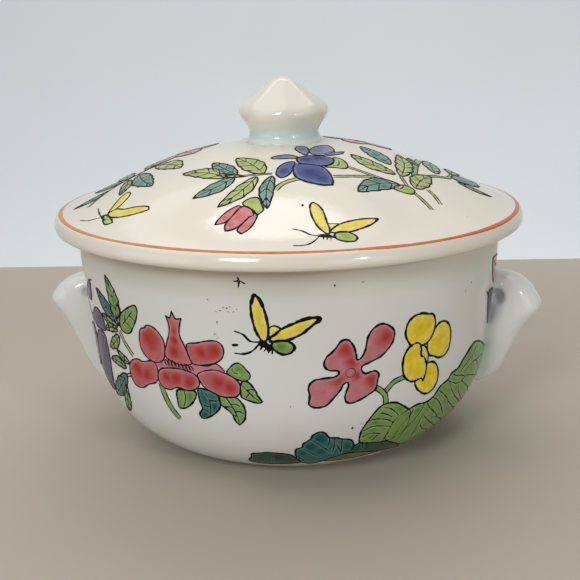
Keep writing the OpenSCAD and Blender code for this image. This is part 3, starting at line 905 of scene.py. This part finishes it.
def long_leaf(m):
    """A great ribbed leaf that sweeps round under the right handle, with its end folded over."""
    outline = [(39.8, 32.4), (43, 33.3), (46.5, 33.2), (49, 34.8), (51, 37.2), (54, 38.3), (55.4, 40),
            (58.2, 40.6), (61, 43), (64, 45.2), (67, 46.3), (72, 45), (78, 42), (85, 38.5), (92, 35),
            (99, 29), (103, 21), (99, 12), (91, 7), (80, 5.8), (68, 6.8), (57, 9.2), (48, 12), (41.5, 16),
            (37.6, 19), (35, 22.2), (35.6, 28.4), (37.2, 31)]
    ribs = [[(41.8, 32.2), (41.3, 30.2), (40, 28), (38.6, 24.8), (38.2, 21)], [(45.5, 32.8), (44.7, 30),
            (43.2, 27), (41.2, 23.6), (41, 18.8)], [(46.5, 28.8), (46.1, 25.2), (46.5, 20.4), (48, 15.4)],
            [(47, 27.8), (50.3, 24.4), (56.5, 19.4), (62, 15)], [(47, 24.2), (50, 20.6), (55.4, 17),
            (60, 12)], [(46.5, 33), (48.3, 30.5), (52.2, 26.8), (55, 24)], [(48.5, 34.2), (51.8, 31.4),
            (55, 27.5), (58, 23.6)], [(50.5, 36), (53.6, 33.2), (56.8, 29.8), (58.5, 25.6)],
            [(56.8, 29.8), (62, 25.6), (70, 20), (78, 13)], [(54.8, 37.4), (56.8, 34), (61.6, 29.2),
            (72, 22), (82, 15)], [(60.3, 34.8), (61.8, 31.4), (69, 25.4), (80, 19), (90, 14)],
            [(53.4, 38.4), (55.8, 37), (58.8, 35.4), (61.8, 35.2), (63.8, 36.1), (68.3, 34.8), (79, 30.6),
            (92, 26)], [(55.4, 40), (57.8, 38.5), (61, 37.4), (63.8, 36.1)], [(61.8, 35.2), (68.4, 30.6),
            (75, 26.2), (86, 21)], [(58.3, 39.4), (60.2, 42), (63.6, 44.4), (66.4, 45.6)], [(59.5, 38.6),
            (63, 40.6), (66.4, 41.8), (69.4, 44.6)], [(62.3, 37.6), (65.5, 39), (70.3, 39.2), (75.5, 35),
            (78.3, 30.8)], [(70.3, 39.2), (77, 38.4), (85, 35.4)], [(51.4, 24.8), (54.6, 24), (64, 17.4),
            (70, 12)], ]
    spots = [(x, y, r) for x, y, r in ((43.4, 31, 1.6), (40.2, 30.4, 1.6), (42.2, 25, 1.6),
            (49.6, 33.2, 1.8), (52.4, 35, 1.8), (47.8, 30.2, 1.4), (57, 37.4, 1.6), (59.2, 33.6, 1.8),
            (64.6, 43, 1.8), (67.4, 37.4, 2.0), (74, 41, 2.4), (65.6, 32.4, 2.2), (55, 30.8, 1.6),
            (60, 25.2, 2.0), (72, 26.4, 2.4), (84, 29, 3.0), (50, 22, 2.0), (64, 22, 2.0), (80, 23, 2.4))]
    m.shape(outline, "green", spots, ribs, width=0.62)


def rocks(m):
    """Scalloped dark mounds with a strip of moss, above the foot."""
    m.shape([(17, 12.4), (20, 14.6), (24, 16), (29, 15.8), (33, 14), (37, 12.4), (30, 11.3), (22, 11)],
            "olive", [(24, 13.4, 3.0)], width=0.35, lift=0.1)
    m.shape([(26, 21), (27.5, 22.3), (30, 21.4), (33, 20.3), (37, 19.4), (40.5, 17.4), (43.5, 14.5),
            (45.5, 11.8), (39, 12.2), (33, 14.6), (27, 16.4), (23, 17)], "forest", [(29, 19.5, 3.0),
            (37, 16, 3.0)], [[(28, 21.8), (28.6, 19.4), (29, 17.5)]])
    m.shape([(8.5, 19.5), (8.8, 21.8), (10.3, 22.6), (10.8, 24.5), (12.5, 26.3), (13.2, 28), (15, 29.2),
            (16.5, 28.3), (17.5, 26.6), (19.7, 26), (21.5, 25.2), (23.5, 24.5), (25, 22.6), (25.4, 19.5),
            (23.4, 16.4), (20, 14.6), (17, 12), (14, 10.2), (10.6, 12), (9, 15.6)], "teal",
            [(15.2, 26.3, 2.6), (12.6, 22.8, 2.4), (10.6, 19.4, 1.8), (23.4, 21.6, 2.0), (16, 19.6, 2.2),
            (18.2, 24, 1.4)], [[(12.8, 26), (14.6, 24.2), (17, 21.2), (19.2, 18.2)], [(10.6, 21.8),
            (12.8, 19.6), (15.8, 16.2)], [(17.6, 27), (17.8, 24.4), (17.2, 21.6)], [(19.1, 25.8),
            (19.4, 22.4), (19.3, 18.6)], [(19.8, 23.6), (21, 20.6), (22, 17.8)], [(21.3, 25.6),
            (21.6, 22), (22, 17.8)], [(23.4, 24.6), (24.6, 23.6), (25.2, 21)], [(9.2, 18), (10, 15.4),
            (11.8, 12.6)]], width=0.6)
    m.shape([(-6.3, 12.4), (-5, 16), (-4.3, 18.4), (-1.5, 19.3), (1, 19.7), (4, 19.3), (6.5, 18.7),
            (8, 17), (9.4, 14.6), (10, 12), (5, 10.8), (-2, 10.6)], "forest", [(4, 17, 3.0),
            (-2, 15, 2.4), (6.5, 13, 2.5)], [[(1.5, 15.8), (1.2, 13.6), (1.6, 12)]], width=0.6)


def side_butterfly(m):
    """A rose and violet butterfly beside the right handle."""
    m.shape([(74.8, 71.2), (78, 71.6), (84, 70.2), (90, 68), (92, 65), (88, 61.6), (82, 61.8),
            (77.5, 65.5)], "rose", [(83, 66.5, 3.0), (88, 65, 2.4)], [[(76, 70.4), (82, 67.5),
            (90, 65.5)]], width=0.7)
    m.shape([(75, 60.4), (80, 60), (87, 57.5), (92, 54), (90, 48), (84, 47), (79, 51), (76, 56)],
            "violet", [(84, 53, 3.4)], [[(76, 59), (82, 54), (88, 50)]], width=0.6)
    m.line([(72, 61.6), (75, 59.8), (80, 58.4)], 0.8, 0.4)
    m.line([(76, 55.5), (79, 53.6), (81, 52)], 1.0, 0.4)


def stray_specks(m):
    """Specks of colour that the painter dropped, some of them smeared."""
    smear = (0.20, 0.18, 0.15)
    m.line([(-3.9, 78), (-3.7, 76.4), (-3.9, 74.8)], 0.6, 0.3)
    m.line([(-5, 76.6), (-3.6, 76.8), (-2.2, 76)], 0.5, 0.3)
    for x, y, radius in ((-6.2, 69, 0.3), (-7, 68.6, 0.38), (-7.8, 68.8, 0.3), (-8.6, 67.8, 0.34),
            (-5.4, 67.6, 0.26), (-6.6, 67.6, 0.3), (-9.6, 67.4, 0.24), (-4.6, 68.4, 0.2)):
        m.dot(x, y, radius, smear, 0.8)
    for x, y, radius in ((-9.6, 64.2, 0.28), (23.7, 29.4, 0.42), (18, 75, 0.33), (-11.5, 70.8, 0.2),
            (60, 68, 0.25), (57.5, 66, 0.2), (26, 30.6, 0.2), (7.4, 38.6, 0.2)):
        m.dot(x, y, radius, (0.05, 0.045, 0.035), 1.2)
    for x, y, radius in ((-10.4, 60.6, 0.5), (-9.8, 59.4, 0.4)):
        m.dot(x, y, radius, (0.50, 0.42, 0.30), 0.8)
    m.dot(24.6, 75.4, 0.5, (0.62, 0.42, 0.10), 0.9)


# ---------------------------------------------------------------- motifs on the lid


def lid_blue_flower(m):
    """A blue flower of pointed petals, deep in front and misty behind, with its calyx and stalks."""
    for stalk in (
            ([(21.6, -27.6), (26, -29), (30, -30.2), (37, -31.6)], 1.1, "lime"),
            ([(18.6, -35.9), (24, -33.6), (29.6, -31)], 1.2, "lime"),
            ([(9, -39.6), (6.2, -41.2), (3.8, -43.8), (2.7, -46.6)], 1.5, "lime")):
        m.stem(*stalk)
    m.shape([(14.5, -20.2), (16, -17.6), (18.5, -16), (20, -14.8), (20, -14.8), (19.6, -17),
            (17.8, -19.4), (15.8, -21)], "mist", [(16.6, -19, 1.6)])
    m.shape([(10.2, -20.8), (9.6, -16.5), (11.3, -12.2), (14, -9.8), (16.2, -12.5), (16.9, -16.5),
            (15.2, -20.5), (13, -21.8)], "mist", [(12.5, -13.5, 2.2)])
    m.shape([(8.8, -22.5), (7, -21), (5, -17.5), (5.2, -14.3), (7.5, -14), (8.8, -16), (9.4, -20)],
            "mist", [(7, -17.5, 2.0)])
    m.shape([(6.4, -24.5), (3.5, -23.4), (0.5, -24.2), (-1.3, -25.8), (-0.5, -27), (3, -26.7),
            (6, -26.2)], "mist", [(1, -25.4, 1.4)])
    m.shape([(17.4, -22.2), (20, -22.8), (22, -26.3), (21.6, -29.3), (18.5, -30), (15.6, -30.4),
            (17.4, -28), (17.8, -25)], "lime", [(19.6, -25.5, 2.0)], [[(17.6, -29.2), (19.4, -27.6),
            (19, -24)]])
    m.shape([(5.9, -29), (3.5, -30.2), (1.9, -33.5), (1.8, -37.5), (3.6, -39.7), (5.3, -38), (6.3, -34.5),
            (6.5, -31)], "blue", [(3.8, -36, 2.4)], over=1)
    m.shape([(6.6, -26.5), (8.3, -24), (11.5, -22.8), (15, -22.5), (17.3, -23.8), (17.5, -27),
            (15.2, -29.9), (11, -30.6), (7.8, -29.6)], "blue", [(13.5, -24.8, 3.0), (9.5, -27, 2.0)],
            over=1)
    m.shape([(6.4, -31.2), (6.6, -35.5), (8.3, -39.3), (12, -41.3), (16, -41.8), (18.7, -41), (18.7, -41),
            (18.4, -37.5), (16.8, -33.5), (15, -31.2), (12.5, -30.4), (9, -30.5)], "blue",
            [(12, -36, 4.4), (15.5, -38.5, 2.6)], width=0.6, over=2)


def lid_bud(m):
    """A rose-coloured bud hanging from a chain of small leaves."""
    m.leaf((0.7, -38.8), (1.6, -55), 4.6, "sea", -0.06, 3)
    m.shape([(-5.8, -52.5), (-3.8, -50.3), (-1.6, -50.4), (-0.4, -53), (0.6, -55.8), (-0.9, -58),
            (-0.9, -58), (-2.4, -55.6), (-4, -54.9)], "lime", [(-3, -52.5, 1.6)])
    m.shape([(-7, -53.6), (-9.6, -55.8), (-11.5, -58.8), (-12.3, -61.4), (-12.3, -61.4), (-10, -61),
            (-8.6, -59.5), (-7, -56.8), (-5.8, -54.8)], "rose", [(-10, -58.6, 1.8)], core=0.5)
    m.shape([(-3.2, -59), (-4.8, -62.3), (-5.4, -64.4), (-4, -65.9), (-4, -65.9), (-2.4, -64.2),
            (-1.2, -61.3), (-0.8, -58), (-2.2, -57)], "rose", [(-3.4, -62.8, 1.8)], core=0.5)
    m.shape([(-6.2, -54.6), (-8, -58.5), (-9.2, -62), (-8.7, -64.5), (-8.7, -64.5), (-6.4, -63.8),
            (-4.6, -61.8), (-3.2, -59.3), (-1.8, -58), (-2.8, -55.6), (-4.5, -54.2)], "rose",
            [(-5.8, -58.6, 2.4), (-7.6, -62, 1.6)], core=0.4, over=1)


def lid_left_spray(m):
    """Five leaves on a short stalk, left of the blue flower."""
    m.stem([(-11, -38.6), (-6, -38), (0.6, -37.4)], 0.8, "lime")
    for leaf in (
            ((-13.5, -38), (-28.4, -29.6), 6.2, "lime", -0.06, 3),
            ((-10.4, -36.8), (-19.6, -26), 5.6, "sea", 0.03, 3),
            ((-2.2, -37.2), (-12.4, -24.6), 7.6, "lime", -0.03, 3),
            ((-10.6, -38.8), (-21.4, -47.4), 6.2, "sea", 0.06, 2),
            ((-3.8, -39.2), (-12.9, -53.6), 5.6, "lime", 0.07, 3),
            ((-16.5, -36), (-7.5, -38.6), 2.2, "lime", 0.0, 1)):
        m.leaf(*leaf)


def lid_right_spray(m):
    """A branch with leaves, right of the blue flower, climbing over the lid."""
    for stalk in (
            ([(38, -24.6), (39, -27.5), (40.3, -30.6)], 0.9, "lime"),
            ([(41.4, -32.4), (44.5, -35.4), (47.6, -39.6)], 1.1, "lime"),
            ([(46.2, -27.4), (48.4, -30.4), (50.1, -34.2)], 1.0, "lime"),
            ([(42.4, -24), (42, -16), (42.2, -8), (43.2, 4)], 1.9, "green"),
            ([(45.8, -16.4), (49, -11.6), (52.6, -6.8), (54, 3)], 1.3, "green")):
        m.stem(*stalk)
    for leaf in (
            ((37.8, -31), (26.2, -41.8), 6.8, "sea", -0.10, 3),
            ((36.2, -25), (22.2, -16.4), 6.6, "lime", 0.08, 3),
            ((34.2, -17.6), (24.4, -3.4), 7.0, "sea", -0.02, 3),
            ((38.2, -24.6), (36.4, -0.8), 6.0, "lime", -0.06, 4),
            ((42.6, -29.8), (46.8, -15), 6.4, "lime", 0.04, 3),
            ((48.4, -8.6), (46.6, 12), 6.0, "green", 0.03, 4),
            ((42.6, -9), (39.8, -0.6), 3.0, "olive", 0.05, 2)):
        m.leaf(*leaf)
    m.shape([(36.2, -34.6), (37.6, -31.6), (40, -30.2), (42.4, -31.6), (41.6, -34.4), (39, -35.2)],
            "lime", [(39.5, -33, 1.8)], [[(37, -34.8), (38.6, -33), (39, -30.6)]])
    for leaf in (
            ((54.4, -5), (61.5, 10), 8.0, "sea", -0.06, 4),
            ((55.6, -7), (66.4, -6.2), 4.4, "green", -0.05, 3),
            ((53.8, 2), (55.8, 20), 5.0, "green", 0.04, 4)):
        m.leaf(*leaf)


def lid_butterfly(m):
    """The lid's butterfly, in lighter enamel."""
    m.line([(19.2, -59.2), (22.6, -58.6)], 0.45)
    m.fill([(19.3, -59.2), (22.8, -58.6), (21, -61.6), (20, -62.2)], "lemon", lift=0.08)
    m.shape([(19.6, -63.8), (16.8, -61.5), (14.6, -57.5), (13.5, -53.5), (13.8, -51.1), (15.5, -51.6),
            (17.4, -54.5), (18.8, -58.8), (19.8, -61.5)], "lemon", [(16.8, -58.6, 2.8), (18, -62, 2.0)],
            width=0.55)
    m.shape([(20.2, -62.8), (21.8, -59.3), (25, -56.6), (29, -54.2), (32.6, -52.7), (32.6, -52.7),
            (31.3, -55.5), (28.2, -59), (24.5, -61.8)], "lemon", [(25, -59.4, 3.2), (28.5, -57, 2.4)],
            width=0.6)
    m.shape([(21.3, -63.8), (22.2, -62.2), (24.4, -61.6), (26.8, -62.4), (27.5, -63.9), (26.6, -65.5),
            (24.2, -66), (22, -65.4)], "lime", [(24.4, -63.9, 2.0)], width=0.6)
    m.line([(16.9, -65.1), (19.2, -64.6), (22, -64.8)], 1.3, 0.5, height=0.2)
    for x in (18.4, 19.4, 20.4):
        m.line([(x, -64.8), (x + 0.2, -66.4)], 0.4, 0.4)
    m.line([(17.4, -65), (15, -65), (12.5, -63.7), (9.7, -63.2)], 0.55, 0.5)
    m.line([(17.2, -65.5), (15.6, -68.4), (13.4, -70), (10.8, -70.4)], 0.55, 0.5)


def lid_speck(m):
    """A dark speck near the butterfly, and a pale one by the rim."""
    m.dot(11.3, -52.7, 0.45, stretch=1.4)
    m.dot(57.8, -35.6, 0.3, (0.75, 0.74, 0.7), 1.5)


def lid_side_butterfly(m):
    """A yellow butterfly by the lid's left edge."""
    m.shape([(-45.8, -30.2), (-44.4, -33), (-45.2, -37.5), (-46.6, -40.5), (-48.8, -42.2), (-48.4, -36.5),
            (-47.4, -32)], "lemon", [(-46.8, -37, 2.6)], width=0.45)
    m.shape([(-48.8, -42.2), (-46.5, -41), (-43.5, -43), (-39, -44.2), (-35.4, -46), (-34.6, -48),
            (-34.6, -48), (-38.5, -48.4), (-44, -47.4), (-47.3, -45.2)], "lemon", [(-42, -45.6, 3.2),
            (-38, -46.8, 2.0)], width=0.55)
    m.shape([(-50, -42.5), (-48.3, -44.2), (-46.2, -47.5), (-45.3, -49.8), (-45.3, -49.8), (-47.4, -49.8),
            (-49, -47)], "lime", [(-48, -46, 1.8)], width=0.55)
    m.line([(-50.6, -42.4), (-49.4, -45.4), (-48.4, -46.6)], 1.0, 0.5, height=0.2)
    m.line([(-50.2, -44.3), (-52.5, -39.5), (-54.4, -34.6)], 0.5, 0.5)
    m.line([(-51.2, -43.2), (-55, -42.6), (-58.4, -40.2)], 0.5, 0.5)


def lid_left_branch(m):
    """A branch behind the left butterfly, with its leaves."""
    m.stem([(-59.5, -29), (-57.6, -22), (-54, -15.5), (-48, -12), (-42, -9)], 1.0, "green")
    for leaf in (
            ((-41.5, -10.5), (-30.4, -23.6), 7.0, "lime", 0.05, 3),
            ((-46.5, -14), (-37.6, -32.2), 6.6, "sea", -0.05, 4),
            ((-50, -15.5), (-48.6, -30), 4.2, "green", 0.05, 3),
            ((-56, -18), (-66, -24), 5.0, "sea", 0.05, 3, 0.3),
            ((-53, -14), (-64, -8), 6.0, "sea", -0.05, 3, 0.3),
            ((-50, -12.5), (-56, 4), 6.0, "green", 0.05, 3, 0.3),
            ((-45, -10), (-48, 8), 5.0, "green", -0.05, 3, 0.3)):
        m.leaf(*leaf)


def lid_rose_flower(m):
    """A rose flower of five pointed petals round a yellow heart. It is drawn about the lid's middle."""
    for k in range(5):
        turn = math.radians(72 * k + 14)
        c, s = math.cos(turn), math.sin(turn)
        petal = [(1.2, -1.6), (5, -4), (9.4, -3.6), (12.4, 0), (12.4, 0), (9.6, 3.4), (5.2, 4), (1.2, 1.6)]
        rib = [(2.4, 0), (6, 0.4), (10, 0.1)]
        m.shape([(x * c - y * s, x * s + y * c) for x, y in petal], "rose", [(8.6 * c, 8.6 * s, 2.6)],
                [[(x * c - y * s, x * s + y * c) for x, y in rib]])
    heart = [(1.9 * math.cos(a), 1.9 * math.sin(a)) for a in np.arange(8) * math.pi / 4]
    m.shape(heart, "lemon", [(0, 0, 1.4)], width=0.4, lift=0.24)


def rim_line():
    """The orange line round the lid's rim: brushed on a wheel, so its ends overlap a little out of step."""
    dome = lid_line[:int(np.argmax(lid_line[:, 0]))]
    segments, overlap, start = 360, 12, math.radians(22)
    turn = np.arange(segments + overlap) * 2 * np.pi / segments + start
    line_r = 74.85
    wander = 0.10 * np.sin(2 * turn) + 0.05 * np.sin(7 * turn + 1) + np.linspace(0.25, -0.35, len(turn))
    half = 0.80 + 0.10 * np.sin(5 * turn + 2) + 0.05 * np.sin(13 * turn)
    half *= np.clip(np.minimum(np.arange(len(turn)), len(turn) - 1 - np.arange(len(turn))) / 8 + 0.2, 0, 1)
    points, faces, tints = [], [], []
    offsets, rises = (-1, -0.6, 0, 0.6, 1), (-0.04, 0.07, 0.09, 0.07, -0.04)
    for offset, rise in zip(offsets, rises):
        r = line_r + wander + half * offset
        x, y = r * np.sin(turn), -r * np.cos(turn)
        z = np.interp(r, dome[:, 0], dome[:, 1])
        points.append(np.column_stack([x, y, z + rise]))
        red = 0.5 + 0.5 * np.sin(turn - 0.3)
        core = red[:, None] * (0.58, 0.100, 0.035) + (1 - red[:, None]) * (0.66, 0.230, 0.070)
        tints.append(core * (1.08 - 0.2 * abs(offset)))
    n = len(turn)
    for k in range(len(offsets) - 1):
        for i in range(n - 1):
            faces.append((k * n + i, (k + 1) * n + i, (k + 1) * n + i + 1, k * n + i + 1))
    tints = np.column_stack([np.vstack(tints), np.ones(n * len(offsets))])
    make_piece("rim_line", np.vstack(points), faces, "lid", ("enamel",), tints=tints)


# ---------------------------------------------------------------- the studio


def make_studio():
    """A pale floor that ends in front of a pale wall."""
    def staged(name, points, faces, colour, rough):
        m = Surface(name, rough)
        m.shader.inputs["Specular IOR Level"].default_value = 0.2
        m.shade(Base_Color=m.mixed(m.noise(6), colour, tuple(c * 0.94 for c in colour)))
        mesh = bpy.data.meshes.new(name)
        mesh.from_pydata(points, [], faces)
        mesh.materials.append(m.material)
        obj = bpy.data.objects.new(name, mesh)
        bpy.context.scene.collection.objects.link(obj)

    side, back, skew, front, wall = 3.0, 0.226, 0.355, -3.0, 1.2
    staged("floor", [(-side, front, 0), (side, front, 0), (side, back + skew, 0), (-side, back - skew, 0)],
           [(0, 1, 2, 3)], (0.53, 0.47, 0.40), 0.55)
    staged("backdrop", [(-side, wall, -1.5), (side, wall, -1.5), (side, wall, 2.5), (-side, wall, 2.5)],
           [(0, 1, 2, 3)], (0.86, 0.885, 0.89), 0.9)


def area_light(name, at, towards, width, height, power, colour):
    data = bpy.data.lights.new(name, "AREA")
    data.shape = "RECTANGLE"
    data.size, data.size_y, data.energy, data.color = width, height, power, colour
    lamp = bpy.data.objects.new(name, data)
    bpy.context.scene.collection.objects.link(lamp)
    lamp.location = at
    lamp.rotation_euler = (Vector(towards) - Vector(at)).to_track_quat("-Z", "Y").to_euler()


def make_lights():
    """A broad overhead softbox, a window in front, a small lamp, cool fill from both sides, and two
    washes on the wall."""
    middle = (0, 0, 0.06)
    area_light("overhead", (-0.25, 0.05, 1.25), middle, 2.0, 1.9, 10.2, (1.0, 0.94, 0.84))
    area_light("window", (-0.32, -1.10, 0.70), middle, 0.34, 0.34, 4.6, (0.93, 0.97, 1.0))
    area_light("lamp", (0.62, -0.72, 0.40), middle, 0.05, 0.05, 1.0, (1.0, 0.97, 0.9))
    area_light("left_fill", (-1.1, -0.75, 0.24), middle, 0.9, 0.7, 2.1, (0.92, 0.96, 1.0))
    area_light("right_fill", (0.95, -1.1, 0.24), middle, 0.8, 0.7, 2.4, (0.93, 0.97, 1.0))
    area_light("wall_wash", (0.0, 0.75, 1.5), (0, 1.2, 0.4), 1.8, 0.3, 5, (0.98, 0.99, 1.0))
    area_light("wall_glow", (0.0, 0.70, -0.65), (0, 1.2, 0.25), 2.2, 0.4, 6.5, (0.98, 0.99, 1.0))
    world = bpy.data.worlds.new("room")
    world.use_nodes = True
    sky = world.node_tree.nodes["Background"]
    sky.inputs["Color"].default_value = (0.80, 0.87, 0.93, 1)
    sky.inputs["Strength"].default_value = 0.20
    bpy.context.scene.world = world


def make_camera():
    """The camera: its distance from the bowl's axis, height, turn round the bowl, tilt and roll."""
    away, height, turn, tilt, roll = 0.340, 0.1394, 7.85, 15.375, -1.15
    data = bpy.data.cameras.new("camera")
    data.sensor_width, data.lens = 36.0, 63.95
    data.clip_start = 0.01
    camera = bpy.data.objects.new("camera", data)
    bpy.context.scene.collection.objects.link(camera)
    a = math.radians(turn)
    place = Matrix.Translation((away * math.sin(a), -away * math.cos(a), height)) @ Matrix.Rotation(a, 4, "Z")
    tilted = Matrix.Rotation(math.radians(90 - tilt), 4, "X")
    camera.matrix_world = place @ tilted @ Matrix.Rotation(math.radians(roll), 4, "Z")
    bpy.context.scene.camera = camera


# ---------------------------------------------------------------- the object

make_camera()
make_studio()
make_lights()
make_bowl()
make_lid()
make_foot()
make_knob()
for handle in ("left_handle", "right_handle"):
    make_handle(handle + "_luted", handle)
locating_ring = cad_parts["lid_locating_ring"]
for material_slot in locating_ring.material_slots:
    material_slot.material = materials["clay"]
rim_line()
for motif in (red_flower_leaves, red_flower, left_sprays, blue_flower, round_leaf, long_leaf, forked_stalk,
              pink_flower, yellow_flower, rocks, side_butterfly, stray_specks):
    paint("bowl", motif.__name__, motif)
paint("bowl", "front_butterfly", butterfly)
for motif, across in ((red_flower_leaves, 168), (red_flower, 168), (left_sprays, 168), (butterfly, 176),
                      (round_leaf, 181), (forked_stalk, 181), (pink_flower, 181), (yellow_flower, 181),
                      (rocks, 172)):
    paint("bowl", "back_" + motif.__name__, motif, across=across)
for motif in (lid_right_spray, lid_left_spray, lid_blue_flower, lid_bud, lid_butterfly, lid_side_butterfly,
              lid_left_branch, lid_speck):
    paint("lid", motif.__name__, motif)
paint("lid", "lid_rose_flower", lid_rose_flower, across=-36, up=2)
paint("lid", "lid_rose_flower_right", lid_rose_flower, across=23, up=14, turned=30)
for motif, turned in ((lid_blue_flower, 172), (lid_bud, 172), (lid_left_spray, 172), (lid_butterfly, 186),
                      (lid_side_butterfly, 190)):
    paint("lid", "lid_back_" + motif.__name__[4:], motif, turned=turned)

view = bpy.context.scene.view_settings
view.view_transform = "Standard"
